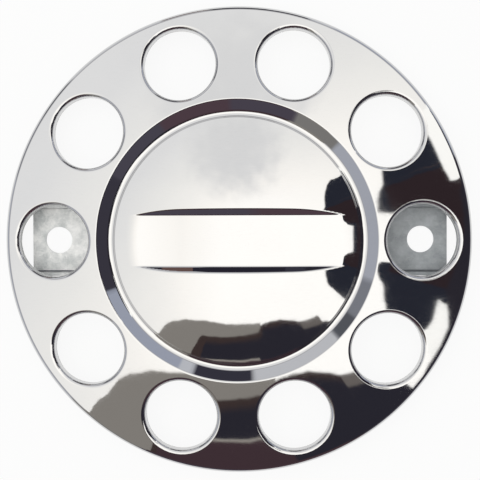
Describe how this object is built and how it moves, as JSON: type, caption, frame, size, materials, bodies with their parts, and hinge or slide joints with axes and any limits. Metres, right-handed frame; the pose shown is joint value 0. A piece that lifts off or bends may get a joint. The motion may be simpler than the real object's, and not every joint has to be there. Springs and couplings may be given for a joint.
{
  "type": "truck wheel cover",
  "caption": "Round pressed steel cover for a truck front wheel: domed centre with a recessed bare band, a valley and bevel, a ring of lug openings and two stud brackets behind it.",
  "frame": {"origin": "centre of the cover at the plane of the rim's rear edge", "axes": "+Z along the wheel axis out of the dome, +X through the two bracket stud holes, the band in the dome runs along X"},
  "size_m": [0.424, 0.424, 0.049],
  "materials": {
    "polished_stainless": "mirror-polished stainless steel sheet",
    "galvanised_steel": "galvanised steel with a soft spangle and handling scratches",
    "galvanised_steel_dull": "galvanised steel, duller and finer in grain"
  },
  "bodies": {
    "root": {"cover_shell": "polished_stainless", "bracket_left": "galvanised_steel", "bracket_right": "galvanised_steel_dull"}
  },
  "joints": []
}
